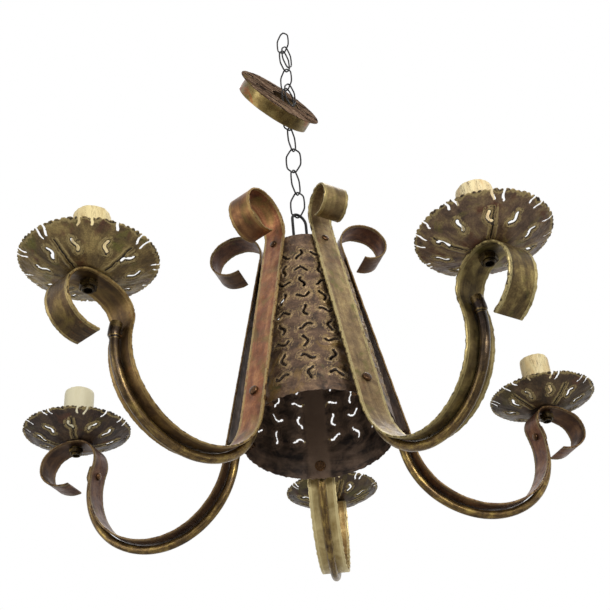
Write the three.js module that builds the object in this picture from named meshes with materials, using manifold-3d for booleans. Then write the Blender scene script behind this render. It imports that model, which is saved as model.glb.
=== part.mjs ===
import * as THREE from "three";
import { mergeVertices } from "three/addons/utils/BufferGeometryUtils.js";
import Module from "manifold-3d";

// Chandelier of hand-forged strap iron. Millimetres, +Z up, the near side towards -Y.
// The origin is the point where the top chain link bears on its ceiling hook.

// Clearances
const contactGap = 0.3;
const shankClearance = 0.3;

// Chain
const linkWire = 1.8;
const linkLength = 35.4;
const linkWidth = 18.6;
const linkTipWidth = 8;
const linkTipFlat = 2.6;
const linkCornerDrop = 1.6;
const linkShoulderDrop = 8.2;
const linkWaist = 0.5;
const spareLinkHosts = [0, 2];

// Hanging loop
const loopWire = 3;
const loopLegSpacing = 18;
const loopRise = 56.5;
const loopYaw = 42;

// Pierced body
const armCount = 5;
const bodyHeight = 201;
const bodyTopRadius = 40.2;
const bodyRimRadius = 71.4;
const bodySheet = 1.5;
const topPlateThickness = 1.5;
const rimSlope = 7.6;
const slotRows = 9;
const slotRowPitch = 18;
const lowestSlotRise = 29;
const slotColumns = 3;
const slotColumnAngle = 21;
const slotLength = 13;
const slotWidth = 2.2;
const slotMiddleWidth = 2.9;
const slotBend = 4;
const slotScatter = 14;

// Strap of each arm: flat bar that leans on the body, sweeps out and curls under the drip pan
const strapWidth = 27.5;
const strapThickness = 2;
const strapLean = 12.25;
const shankPastRim = 10.9;
const innerBend = { radius: 67, turn: 44.3 };
const belly = { radius: 74, turn: 66.8 };
const outerBend = { radius: 62.6, turn: 72.2 };
const neck = { radius: 23, turn: -81.5 };
const crown = { radius: 40.5, turn: -37.5 };
const curl = { radius: 20.6, turn: -113.5 };
const curlEnd = { radius: 29.8, turn: -58.9 };
const scrollCrown = { radius: 27.5, turn: -132 };
const scrollCurl = { radius: 20.5, turn: -167 };

// Conduit tube under each strap
const tubeRadius = 4;
const tubeWall = 0.9;
const tubeBelowBolt = 9;
const tubePastRivet = 9;
const collarRadius = 5;
const collarLength = 13;
const leastBendSpacing = 1;

// Fasteners
const rivetShankRadius = 1.9;
const rivetHeadRadius = 3.6;
const rivetHeadHeight = 2;
const topRivetDrop = 5.6;
const rivetTailRadius = 2.9;
const rivetTailHeight = 1.2;
const blindTail = 1.6;
const headRimHeight = 0.8;
const headBevel = 1.5;
const boltShankRadius = 2.2;
const boltHeadRadius = 4.4;
const boltHeadHeight = 2.8;
const boltWasherRadius = 5.2;
const boltWasherThickness = 1.2;
const boltNutRadius = 3.9;
const boltNutHeight = 3;
const boltStickOut = 2;
const wallHoleReach = 12;
const boltAboveRim = 12.1;
const boltLineSlope = 4.9;
const armRivetSetback = 7;

// Drip pan
const panRadius = 53;
const panDepth = 17;
const panSheet = 1;
const panFloorRadius = 16;
const panDishPower = 1.25;
const panSlotCount = 10;
const panSlotLength = 12;
const panSlotWidth = 2.6;
const panSlotPlace = 33.5;

// Lampholder, its threaded nipple and the candle sleeve over it
const nippleRadius = 4.8;
const nippleBoreRadius = 3.4;
const nippleTail = 2;
const nippleHead = 3;
const nutAcrossFlats = 13;
const nutHeight = 5;
const socketRadius = 12.5;
const socketHeight = 46;
const socketBase = 16;
const socketBoreRadius = 7.2;
const sleeveRadius = 14.85;
const sleeveWall = 1.2;
const sleeveLength = 59;

// Ceiling canopy, hung askew on the fourth link
const canopyRadius = 51;
const canopySheet = 1.5;
const canopyHoleRadius = 17;
const canopyHoleShift = 7;
const canopyChainShift = 5;
const canopyChainRise = 5;
const bandRadius = 44;
const bandWall = 1.2;
const bandHeight = 16;
const canopyLinkIndex = 3;
const canopyNormal = new THREE.Vector3(0.61, -0.681, 0.406).normalize();

// Fineness of the round pieces
const arcStep = 18;
const bodySides = 20;
const panSides = 30;
const canopySides = 40;
const bandSides = 36;
const sleeveSides = 20;
const socketSides = 16;
const holeSides = 8;
const shankSides = 8;
const headSides = 10;
const washerSides = 12;
const wireSides = 6;
const flatness = 0.002;

// How far a cutting tool runs past a face, and how far two joined solids run into each other
const overrun = 1;
const weld = 0.4;

const acrossSide = new THREE.Vector3(0, -1, 0);
const zAxis = new THREE.Vector3(0, 0, 1);
const degrees = THREE.MathUtils.degToRad;

// Heights that follow from the sizes above
const mainLinkYaws = [-36, 52, -40, 44, -28, 64, -18, 60, -28];
const linkPitch = linkLength - 2 * linkWire - contactGap;
const linkReach = (linkLength - linkWire) / 2;
const topLinkCentre = linkWire / 2 - linkReach;
const lowestWire = topLinkCentre - (mainLinkYaws.length - 1) * linkPitch - linkReach;
const loopTop = lowestWire + (linkWire + loopWire) / 2 + contactGap;
const bodyTop = loopTop - loopRise;
const bodyRim = bodyTop - bodyHeight;
const bodySlope = (bodyRimRadius - bodyTopRadius) / bodyHeight;
const wallLean = Math.atan(bodySlope);

// Each arm is bent by hand, so it reaches, rises and sways a little differently from the next. Its bends
// say by how much their radius and their turn differ from the common ones.
const arms = [
  {
    name: "front_left",
    azimuth: 231.6,
    reach: 5,
    rise: -0.5,
    sway: -2.5,
    scrollStem: 3,
    scrollTurn: 4,
    bends: {
      inner: [-7, -2.5],
      belly: [-3, 0.5],
      neck: [-1, 6],
      crown: [6, 0],
      curl: [2.5, 0],
      curlEnd: [-1.5, -2.5],
      scrollCrown: [0.5, -10],
      scrollCurl: [1.5, -3],
    },
  },
  {
    name: "front_right",
    azimuth: 303,
    reach: -9.5,
    rise: -8.5,
    sway: 6.5,
    scrollStem: 18,
    scrollTurn: -6.5,
    bends: {
      inner: [4, -0.5],
      outer: [2, 0.5],
      neck: [0.5, -6],
      crown: [-5.5, 0],
      curl: [7.5, 29],
      curlEnd: [4, -1.5],
      scrollCrown: [-7, -7.5],
      scrollCurl: [-5, -11],
    },
  },
  {
    name: "right",
    azimuth: 20.2,
    reach: 1,
    rise: -1,
    sway: 4,
    scrollStem: 11,
    scrollTurn: 0,
    bends: {
      inner: [-5.5, 2.5],
      belly: [4.5, 1.5],
      outer: [2, -1],
      neck: [-6.5, -20],
      crown: [3, 0],
      curl: [-1.5, 16.5],
      curlEnd: [-3, -1.5],
      scrollCrown: [-0.5, 5.5],
      scrollCurl: [0, -2.5],
    },
  },
  {
    name: "back",
    azimuth: 91,
    reach: 6,
    rise: -7.5,
    sway: -14,
    scrollStem: 6.9,
    scrollTurn: 0,
    bends: {
      inner: [1, -0.5],
      belly: [-3.5, 0.5],
      outer: [1.5, 0.5],
      neck: [-3, -1.5],
      crown: [-5.5, 0],
    },
  },
  {
    name: "left",
    azimuth: 164.7,
    reach: -5.5,
    rise: 3.5,
    sway: -6,
    scrollStem: 4,
    scrollTurn: 0,
    bends: {
      inner: [9.5, 1.5],
      belly: [1, 0.5],
      outer: [1, 0.5],
      neck: [0, -13.5],
      crown: [4, 0],
      curl: [-0.5, 5.5],
      curlEnd: [-3, -1],
      scrollCrown: [1, -10.5],
      scrollCurl: [1, 2.5],
    },
  },
];

const materials = {
  brass: { color: 0x7a6238, roughness: 0.5, metalness: 0.9 },
  copper: { color: 0x8a5a3a, roughness: 0.5, metalness: 0.9 },
  bronze: { color: 0x4a3f30, roughness: 0.6, metalness: 0.8 },
  iron: { color: 0x1c1a19, roughness: 0.6, metalness: 0.7 },
  porcelain: { color: 0xe0d8c4, roughness: 0.5, metalness: 0 },
  cream: { color: 0xe6dcb8, roughness: 0.7, metalness: 0 },
};

const wasm = await Module();
wasm.setup();

// Booleans
function solidOf(geometry) {
  const bare = geometry.clone();
  bare.deleteAttribute("normal");
  bare.deleteAttribute("uv");
  const merged = mergeVertices(bare, 1e-4);
  const vertProperties = new Float32Array(merged.attributes.position.array);
  const triVerts = new Uint32Array(merged.index.array);
  return new wasm.Manifold(new wasm.Mesh({ numProp: 3, vertProperties, triVerts }));
}

function geometryOf(solid) {
  const mesh = solid.asOriginal().simplify(flatness).getMesh();
  const geometry = new THREE.BufferGeometry();
  geometry.setAttribute("position", new THREE.BufferAttribute(mesh.vertProperties, 3));
  geometry.setIndex(new THREE.BufferAttribute(mesh.triVerts, 1));
  const faceted = geometry.toNonIndexed();
  faceted.computeVertexNormals();
  return faceted;
}

function cut(geometry, tools) {
  const whole = tools.reduce((solid, tool) => solid.subtract(solidOf(tool)), solidOf(geometry));
  return geometryOf(whole);
}

function join(pieces) {
  return geometryOf(pieces.map(solidOf).reduce((whole, solid) => whole.add(solid)));
}

// A curve that passes through the given points and bends only there.
class Spine extends THREE.Curve {
  constructor(points) {
    super();
    this.points = points;
  }

  getPoint(t, target = new THREE.Vector3()) {
    const place = t * (this.points.length - 1);
    const before = Math.min(Math.floor(place), this.points.length - 2);
    return target.copy(this.points[before]).lerp(this.points[before + 1], place - before);
  }

  getPointAt(u, target) {
    return this.getPoint(u, target);
  }

  getTangentAt(u, target) {
    return this.getTangent(u, target);
  }
}

// The centreline of a flat bar or tube whose section keeps one side along Y.
class FlatSpine extends Spine {
  computeFrenetFrames() {
    const { points } = this;
    const tangents = points.map((point, index) => {
      const ahead = (points[index + 1] ?? point).clone().sub(point).normalize();
      const behind = point.clone().sub(points[index - 1] ?? point).normalize();
      return ahead.add(behind).normalize();
    });
    const binormals = tangents.map((tangent) => tangent.clone().cross(acrossSide).normalize());
    return { tangents, normals: points.map(() => acrossSide.clone()), binormals };
  }
}

// Points along a flat run of straight and round stretches, each with its heading and distance.
function walk(start, heading, stretches) {
  const stations = [{ ...start, heading, distance: 0 }];
  for (const stretch of stretches) {
    const turn = degrees(stretch.turn ?? 0);
    const length = stretch.length ?? stretch.radius * Math.abs(turn);
    const steps = Math.max(1, Math.round(Math.abs(stretch.turn ?? 0) / arcStep));
    const bend = turn / steps;
    const chord = bend ? 2 * (length / Math.abs(turn)) * Math.sin(Math.abs(bend) / 2) : length;
    for (let step = 0; step < steps; step += 1) {
      const last = stations.at(-1);
      const aim = last.heading + bend / 2;
      stations.push({
        r: last.r + chord * Math.cos(aim),
        z: last.z + chord * Math.sin(aim),
        heading: last.heading + bend,
        distance: last.distance + length / steps,
      });
    }
  }
  return stations;
}

function circle(radius, sides) {
  const points = [];
  for (let side = 0; side < sides; side += 1) {
    const angle = (2 * Math.PI * side) / sides;
    points.push(new THREE.Vector2(radius * Math.cos(angle), radius * Math.sin(angle)));
  }
  return points;
}

function lathe(points, sides) {
  const profile = points.map(([radius, height]) => new THREE.Vector2(radius, height));
  return new THREE.LatheGeometry([...profile, profile[0]], sides).rotateX(Math.PI / 2);
}

function sweep(shape, points) {
  const extrudePath = new FlatSpine(points);
  return new THREE.ExtrudeGeometry(shape, { steps: points.length - 1, extrudePath });
}

// A round bar of the given radius from one height to another along Z.
function bar(radius, low, high, sides) {
  return new THREE.CylinderGeometry(radius, radius, high - low, sides)
    .rotateX(Math.PI / 2)
    .translate(0, 0, (low + high) / 2);
}

function domedHead(radius, height, seat) {
  const top = seat + height;
  const edge = [[radius, seat], [radius, seat + headRimHeight], [radius - headBevel, top]];
  return lathe([[0, seat], ...edge, [0, top]], headSides);
}

// Chain link in the XZ plane: a wire hexagon with narrow ends
const linkCorner = { x: (linkTipWidth - linkWire) / 2, z: linkReach - linkCornerDrop };
const linkShoulder = { x: (linkWidth - linkWire) / 2 - linkWaist, z: linkReach - linkShoulderDrop };

function linkGeometry() {
  const quarter = [
    [linkTipFlat / 2, linkReach],
    [linkCorner.x, linkCorner.z],
    [linkShoulder.x, linkShoulder.z],
    [(linkWidth - linkWire) / 2, 0],
  ];
  const right = [...quarter, ...quarter.slice(0, -1).reverse().map(([x, z]) => [x, -z])];
  const left = right.map(([x, z]) => [-x, -z]);
  const points = [...right, ...left].map(([x, z]) => new THREE.Vector3(x, 0, z));
  const path = new Spine([...points, points[0]]);
  return new THREE.TubeGeometry(path, points.length, linkWire / 2, wireSides, true);
}

// A spare link hangs square to its neighbour, from the middle of the slope between corner and shoulder.
const slope = new THREE.Vector2(linkShoulder.x - linkCorner.x, linkCorner.z - linkShoulder.z).normalize();
const wireStandoff = linkWire + contactGap;
const spareLinkPlace = new THREE.Vector3(
  (linkCorner.x + linkShoulder.x) / 2 - wireStandoff * slope.y,
  0,
  -(linkCorner.z + linkShoulder.z) / 2 + wireStandoff * slope.x - linkReach,
);

// Inverted U of round bar whose legs pass through the top plate
function loopGeometry() {
  const half = loopLegSpacing / 2;
  const foot = bodyTop - topPlateThickness - loopWire;
  const legTop = loopTop - half;
  const arch = walk({ r: half, z: legTop }, Math.PI / 2, [{ radius: half, turn: 180 }]);
  const points = [{ r: half, z: foot }, ...arch, { r: -half, z: foot }];
  const path = points.map((point) => new THREE.Vector3(point.r, 0, point.z));
  return sweep(new THREE.Shape(circle(loopWire / 2, shankSides)), path).rotateZ(degrees(loopYaw));
}

// A wavy torch cut, lying along X, as a prism that stands on Z
function slotPrism(depth) {
  const half = slotLength / 2;
  const outline = [
    [-half, -(slotBend + slotWidth) / 2],
    [0, (slotBend - slotMiddleWidth) / 2],
    [half, -(slotBend + slotWidth) / 2],
    [half, -(slotBend - slotWidth) / 2],
    [0, (slotBend + slotMiddleWidth) / 2],
    [-half, -(slotBend - slotWidth) / 2],
  ];
  const shape = new THREE.Shape(outline.map(([x, y]) => new THREE.Vector2(x, y)));
  return new THREE.ExtrudeGeometry(shape, { depth, bevelEnabled: false }).translate(0, 0, -depth / 2);
}

// Rolled cone with a plate closing its top, an open slanting rim and rows of torch cuts
function bodyGeometry(boltHoles) {
  const rimDrop = bodyRimRadius * Math.tan(degrees(rimSlope)) + 2 * overrun;
  const low = bodyRim - rimDrop;
  const lowRadius = bodyRimRadius + rimDrop * bodySlope;
  const plateUnder = bodyTop - topPlateThickness;
  const underRadius = bodyTopRadius + topPlateThickness * bodySlope - bodySheet;
  const shell = lathe(
    [[0, plateUnder], [underRadius, plateUnder], [lowRadius - bodySheet, low], [lowRadius, low],
      [bodyTopRadius, bodyTop], [0, bodyTop]],
    bodySides,
  ).rotateZ(Math.PI / bodySides);

  const trimSize = 4 * bodyRimRadius;
  const trim = new THREE.BoxGeometry(trimSize, trimSize, trimSize)
    .translate(0, 0, -trimSize / 2)
    .rotateX(-degrees(rimSlope))
    .translate(0, 0, bodyRim);

  const tools = [trim, ...boltHoles];
  const slotDepth = 6 * bodySheet;
  for (let sector = 0; sector < armCount; sector += 1) {
    const start = arms[sector].azimuth;
    const next = arms[(sector + 1) % armCount].azimuth;
    const middle = start + ((next - start + 360) % 360) / 2;
    for (let column = 0; column < slotColumns; column += 1) {
      for (let row = 0; row < slotRows; row += 1) {
        const height = bodyRim + lowestSlotRise + row * slotRowPitch;
        const radius = bodyTopRadius + (bodyTop - height) * bodySlope;
        const columnAngle = (column - (slotColumns - 1) / 2) * slotColumnAngle;
        const azimuth = middle + columnAngle;
        const upright = (row + column) % 2 === 1;
        const scatter = slotScatter * Math.sin(7 * row + 5 * column + 3 * sector);
        const slot = slotPrism(slotDepth)
          .rotateZ(degrees((upright ? 90 : 0) + scatter))
          .rotateX(Math.PI / 2 + wallLean)
          .translate(0, -radius, 0)
          .rotateZ(degrees(90 + azimuth))
          .translate(0, 0, height);
        tools.push(slot);
      }
    }
  }

  for (const side of [-1, 1]) {
    const hole = bar(loopWire / 2 + shankClearance, plateUnder - overrun, bodyTop + overrun, holeSides)
      .translate((side * loopLegSpacing) / 2, 0, 0)
      .rotateZ(degrees(loopYaw));
    tools.push(hole);
  }
  return cut(shell, tools);
}

// The strap's centreline in the arm's own upright plane, from the top scroll's tip to the curl's tip
const lean = degrees(strapLean);
const shankStart = { r: bodyTopRadius + (strapThickness / 2 + contactGap) / Math.cos(lean), z: bodyTop };
const rimPlace = bodyHeight / Math.cos(lean);
const shankLength = rimPlace + shankPastRim;
const shankBends = { inner: innerBend, belly, outer: outerBend, neck, crown, curl, curlEnd };
const commonBends = { ...shankBends, scrollCrown, scrollCurl };

function bendOf(arm, name) {
  const [wider, further] = arm.bends[name] ?? [0, 0];
  return { radius: commonBends[name].radius + wider, turn: commonBends[name].turn + further };
}

const smooth = (share) => THREE.MathUtils.smoothstep(share, 0, 1);

// One arm's strap: its stations, and the distances from the body's top edge to the upright and the crown
function strapOf(arm) {
  const bends = Object.keys(shankBends).map((name) => bendOf(arm, name));
  const lengths = bends.map((bend) => bend.radius * Math.abs(degrees(bend.turn)));
  const lengthTo = (count) => lengths.slice(0, count).reduce((sum, length) => sum + length, shankLength);
  const uprightPlace = lengthTo(3);
  const neckHeading = bends.slice(0, 4).reduce((sum, bend) => sum + bend.turn, strapLean - 90);
  const crownPlace = lengthTo(4) + bends[4].radius * degrees(neckHeading);
  const crownRadius = Math.min(bends[3].radius, bends[4].radius);

  const shank = walk(shankStart, lean - Math.PI / 2, [{ length: shankLength }, ...bends]);
  const rolls = [{ length: arm.scrollStem }, bendOf(arm, "scrollCrown"), bendOf(arm, "scrollCurl")];
  const turn = degrees(arm.scrollTurn);
  const scroll = walk(shankStart, lean + Math.PI / 2, rolls)
    .slice(1)
    .reverse()
    .map((station) => ({
      ...station,
      r: shankStart.r + (station.r - shankStart.r) * Math.cos(turn),
      side: (station.r - shankStart.r) * Math.sin(turn),
      heading: station.heading - Math.PI,
      distance: -station.distance,
    }));

  const stations = [...scroll, ...shank].map((station) => {
    const share = smooth((station.distance - shankLength) / (uprightPlace - shankLength));
    const point = new THREE.Vector3(
      station.r + arm.reach * share,
      (station.side ?? 0) + arm.sway * share,
      station.z + arm.rise * share,
    );
    const left = new THREE.Vector3(-Math.sin(station.heading), 0, Math.cos(station.heading));
    return { point, left, distance: station.distance };
  });
  return { stations, uprightPlace, crownPlace, crownRadius };
}

// The place on a strap at a distance from the body's top edge: its point and its left-hand normal
function placeOn(stations, distance) {
  const after = stations.findIndex((station) => station.distance >= distance);
  const next = stations[after];
  const last = stations[after - 1];
  const share = (distance - last.distance) / (next.distance - last.distance);
  return {
    point: last.point.clone().lerp(next.point, share),
    left: last.left.clone().lerp(next.left, share).normalize(),
    distance,
  };
}

// Turns a piece built along +Z so that it stands on the strap at a place, +Z towards its left-hand side
function standOn(geometry, place) {
  const turn = new THREE.Quaternion().setFromUnitVectors(zAxis, place.left);
  return geometry.applyQuaternion(turn).translate(place.point.x, place.point.y, place.point.z);
}

function strapGeometry(stations, places) {
  const section = new THREE.Shape([
    new THREE.Vector2(-strapWidth / 2, -strapThickness / 2),
    new THREE.Vector2(strapWidth / 2, -strapThickness / 2),
    new THREE.Vector2(strapWidth / 2, strapThickness / 2),
    new THREE.Vector2(-strapWidth / 2, strapThickness / 2),
  ]);
  const reach = strapThickness / 2 + overrun;
  const holes = [
    [rivetShankRadius, holeSides, places.topRivet],
    [boltShankRadius, holeSides, places.bolt],
    [rivetShankRadius, holeSides, places.armRivet],
    [nippleRadius, washerSides, places.nipple],
  ].map(([radius, sides, place]) => standOn(bar(radius + shankClearance, -reach, reach, sides), place));
  return cut(sweep(section, stations.map((station) => station.point)), holes);
}

// The point a little past the end of the line from one point to another
function beyond(from, to) {
  return to.clone().addScaledVector(to.clone().sub(from).normalize(), overrun);
}

// Hollow tube on the strap's right-hand side, with a collar at its upper end
function tubeGeometry(stations, places) {
  const start = places.bolt.distance + boltShankRadius + tubeBelowBolt;
  const end = places.armRivet.distance + tubePastRivet;
  const collarPlace = end - collarLength;
  const before = stations.filter(
    ({ distance }) => distance > start + leastBendSpacing && distance < collarPlace - leastBendSpacing,
  );
  const run = [placeOn(stations, start), ...before, placeOn(stations, collarPlace), placeOn(stations, end)];
  const snug = strapThickness / 2 + contactGap + tubeRadius;
  const lift = collarRadius - tubeRadius;
  const path = run.map((station) => {
    const raised = station.distance >= collarPlace ? lift : 0;
    return station.point.clone().addScaledVector(station.left, -snug - raised);
  });
  const section = new THREE.Shape(circle(tubeRadius, shankSides));
  const collar = new THREE.Shape(circle(collarRadius, shankSides));
  const rod = join([sweep(section, path), sweep(collar, path.slice(-2))]);
  const bore = new THREE.Shape(circle(tubeRadius - tubeWall, wireSides));
  const borePath = [beyond(path[1], path[0]), ...path.slice(1, -1), beyond(path.at(-2), path.at(-1))];
  const pinHole = bar(rivetShankRadius + shankClearance, -snug - lift, 0, holeSides);
  return cut(rod, [sweep(bore, borePath), standOn(pinHole, places.armRivet)]);
}

// Solid rivet through the strap and the body's wall, a head on each side
function topRivetGeometry() {
  const outside = strapThickness / 2 + contactGap;
  const spread = topRivetDrop * Math.tan(lean - wallLean);
  const inside = -strapThickness / 2 - spread - bodySheet - 4 * contactGap;
  return join([
    bar(rivetShankRadius, inside - weld, outside + weld, shankSides),
    domedHead(rivetHeadRadius, rivetHeadHeight, outside),
    bar(rivetTailRadius, inside - rivetTailHeight, inside, shankSides),
  ]);
}

// Bolt through the strap and the rim of the body, with a washer and nut inside
function boltGeometry(wallDistance) {
  const outside = strapThickness / 2 + contactGap;
  const washer = -wallDistance - 3 * contactGap;
  const nut = washer - boltWasherThickness;
  return join([
    bar(boltShankRadius, nut - boltNutHeight - boltStickOut, outside + weld, shankSides),
    domedHead(boltHeadRadius, boltHeadHeight, outside),
    bar(boltWasherRadius, nut, washer, washerSides),
    bar(boltNutRadius, nut - boltNutHeight, nut + weld, 6),
  ]);
}

// Blind rivet that pins the tube to the strap from its inner face
function armRivetGeometry() {
  const seat = strapThickness / 2 + contactGap;
  const tubeInside = -strapThickness / 2 - contactGap - (collarRadius - tubeRadius) - tubeWall;
  return join([
    bar(rivetShankRadius, tubeInside - blindTail, seat + weld, shankSides),
    domedHead(rivetHeadRadius, rivetHeadHeight, seat),
  ]);
}

// Shallow dish with radial torch cuts; its floor lies on z = 0
function panGeometry() {
  const shares = [0, 0.3, 0.65, 1];
  const under = shares.map((share) => [
    panFloorRadius + share * (panRadius - panFloorRadius),
    (panDepth - panSheet) * share ** panDishPower,
  ]);
  const over = under.map(([radius, height]) => [radius, height + panSheet]).reverse();
  const hole = nippleRadius + shankClearance;
  const dish = lathe([[hole, 0], ...under, ...over, [hole, panSheet]], panSides);
  const slots = [];
  for (let index = 0; index < panSlotCount; index += 1) {
    const slot = new THREE.BoxGeometry(panSlotLength, panSlotWidth, 3 * panDepth)
      .translate(panSlotPlace, 0, 0)
      .rotateZ((2 * Math.PI * index) / panSlotCount);
    slots.push(slot);
  }
  return cut(dish, slots);
}

// Threaded tube with the nut that clamps it under the strap; z = 0 is the strap's centreline
const nutHalfWidth = nutAcrossFlats / 2 / Math.cos(Math.PI / 6);
const panSeat = strapThickness / 2 + contactGap;
const socketSeat = panSeat + panSheet + contactGap;

function nippleGeometry(crownRadius) {
  const inside = crownRadius - strapThickness / 2;
  const sag = inside - Math.sqrt(inside ** 2 - nutHalfWidth ** 2);
  const nutTop = -strapThickness / 2 - sag - contactGap;
  const low = nutTop - nutHeight - nippleTail;
  const high = socketSeat + nippleHead;
  const nut = bar(nutHalfWidth, nutTop - nutHeight, nutTop, 6);
  const bore = bar(nippleBoreRadius, low - overrun, high + overrun, holeSides);
  return cut(join([bar(nippleRadius, low, high, headSides), nut]), [bore]);
}

// Lampholder: a cup with a narrow hole below for the nipple and a wide bore above for the lamp cap
function socketGeometry() {
  const hole = nippleRadius + shankClearance;
  return lathe(
    [[hole, 0], [socketRadius, 0], [socketRadius, socketHeight], [socketBoreRadius, socketHeight],
      [socketBoreRadius, socketBase], [hole, socketBase]],
    socketSides,
  );
}

function sleeveGeometry() {
  const bore = sleeveRadius - sleeveWall;
  const wall = [[bore, 0], [sleeveRadius, 0], [sleeveRadius, sleeveLength], [bore, sleeveLength]];
  return lathe(wall, sleeveSides);
}

// Canopy disc with its hole off centre; its face lies on z = 0
function discGeometry() {
  const hole = bar(canopyHoleRadius, -canopySheet - overrun, overrun, holeSides * 3);
  return cut(bar(canopyRadius, -canopySheet, 0, canopySides), [hole.translate(canopyHoleShift, 0, 0)]);
}

function bandGeometry() {
  const top = -canopySheet - contactGap;
  const bore = bandRadius - bandWall;
  const profile = [[bore, top - bandHeight], [bandRadius, top - bandHeight], [bandRadius, top], [bore, top]];
  return lathe(profile, bandSides);
}

// Scene graph
const chandelier = new THREE.Group();
chandelier.name = "chandelier";

function addMesh(group, name, geometry, look) {
  const mesh = new THREE.Mesh(geometry, new THREE.MeshStandardMaterial(look));
  mesh.name = name;
  group.add(mesh);
  return mesh;
}

// Chain
const link = linkGeometry();
mainLinkYaws.forEach((yaw, index) => {
  const place = new THREE.Group();
  place.position.z = topLinkCentre - index * linkPitch;
  place.rotation.z = degrees(yaw);
  chandelier.add(place);
  addMesh(place, `chain_link_${index + 1}`, link.clone(), materials.iron);
  if (spareLinkHosts.includes(index)) {
    const number = spareLinkHosts.indexOf(index) + 1;
    const spare = addMesh(place, `spare_link_${number}`, link.clone(), materials.iron);
    spare.position.copy(spareLinkPlace);
    spare.rotation.z = Math.PI / 2;
  }
});

addMesh(chandelier, "hanging_loop", loopGeometry(), materials.iron);

// Canopy disc with its band soldered behind it, both turned to the askew normal about the link they hang on
const canopy = new THREE.Group();
const uphill = zAxis.clone().addScaledVector(canopyNormal, -canopyNormal.z).normalize();
const sideways = uphill.clone().cross(canopyNormal);
canopy.quaternion.setFromRotationMatrix(new THREE.Matrix4().makeBasis(sideways, uphill, canopyNormal));
canopy.position
  .set(0, 0, topLinkCentre - canopyLinkIndex * linkPitch)
  .addScaledVector(sideways, -canopyHoleShift - canopyChainShift)
  .addScaledVector(uphill, -canopyChainRise);
chandelier.add(canopy);

addMesh(canopy, "canopy_disc", discGeometry(), materials.bronze);
addMesh(canopy, "canopy_band", bandGeometry(), materials.brass);

// Arms
const boltHoles = [];
for (const arm of arms) {
  const group = new THREE.Group();
  group.rotation.z = degrees(arm.azimuth);
  chandelier.add(group);

  const { stations, uprightPlace, crownPlace, crownRadius } = strapOf(arm);
  const nearness = bodyRimRadius * Math.sin(degrees(arm.azimuth)) * Math.tan(degrees(boltLineSlope));
  const places = {
    topRivet: placeOn(stations, topRivetDrop),
    bolt: placeOn(stations, rimPlace - boltAboveRim + nearness),
    armRivet: placeOn(stations, uprightPlace - armRivetSetback),
    nipple: placeOn(stations, crownPlace),
  };
  const boltHeight = places.bolt.point.z;
  const facetShare = Math.cos(Math.PI / bodySides);
  const wallRadius = (bodyTopRadius + (bodyTop - boltHeight) * bodySlope) * facetShare - bodySheet;
  const wallDistance = (places.bolt.point.x - wallRadius) * Math.cos(lean);

  addMesh(group, `strap_${arm.name}`, strapGeometry(stations, places), materials.copper);
  addMesh(group, `tube_${arm.name}`, tubeGeometry(stations, places), materials.brass);
  addMesh(group, `top_rivet_${arm.name}`, standOn(topRivetGeometry(), places.topRivet), materials.copper);
  addMesh(group, `body_bolt_${arm.name}`, standOn(boltGeometry(wallDistance), places.bolt), materials.copper);
  addMesh(group, `arm_rivet_${arm.name}`, standOn(armRivetGeometry(), places.armRivet), materials.copper);

  const holder = new THREE.Group();
  holder.position.copy(places.nipple.point);
  group.add(holder);
  addMesh(holder, `nipple_${arm.name}`, nippleGeometry(crownRadius), materials.brass);
  addMesh(holder, `drip_pan_${arm.name}`, panGeometry(), materials.bronze).position.z = panSeat;
  addMesh(holder, `lampholder_${arm.name}`, socketGeometry(), materials.porcelain).position.z = socketSeat;
  addMesh(holder, `candle_sleeve_${arm.name}`, sleeveGeometry(), materials.cream).position.z = socketSeat;

  for (const [place, radius, depth] of [
    [places.topRivet, rivetShankRadius, 0],
    [places.bolt, boltShankRadius, wallDistance],
  ]) {
    const hole = bar(radius + shankClearance, -depth - wallHoleReach, strapThickness, holeSides);
    boltHoles.push(standOn(hole, place).rotateZ(degrees(arm.azimuth)));
  }
}

addMesh(chandelier, "body_cone", bodyGeometry(boltHoles), materials.bronze);

export default chandelier;
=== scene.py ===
import math

import bpy
import numpy as np
from mathutils import Matrix, Vector


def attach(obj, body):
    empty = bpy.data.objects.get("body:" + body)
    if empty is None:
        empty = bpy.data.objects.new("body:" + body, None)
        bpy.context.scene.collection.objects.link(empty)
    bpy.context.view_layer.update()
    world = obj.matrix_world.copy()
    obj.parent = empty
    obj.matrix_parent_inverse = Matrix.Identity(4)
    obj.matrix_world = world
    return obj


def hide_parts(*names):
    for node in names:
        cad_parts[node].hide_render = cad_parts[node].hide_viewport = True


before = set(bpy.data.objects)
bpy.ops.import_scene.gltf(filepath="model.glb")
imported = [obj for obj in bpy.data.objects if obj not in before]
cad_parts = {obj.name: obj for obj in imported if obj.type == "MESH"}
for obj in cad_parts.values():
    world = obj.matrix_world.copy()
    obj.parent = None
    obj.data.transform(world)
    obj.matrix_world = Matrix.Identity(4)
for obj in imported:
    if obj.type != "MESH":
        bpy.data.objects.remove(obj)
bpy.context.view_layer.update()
scene = bpy.context.scene

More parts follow.
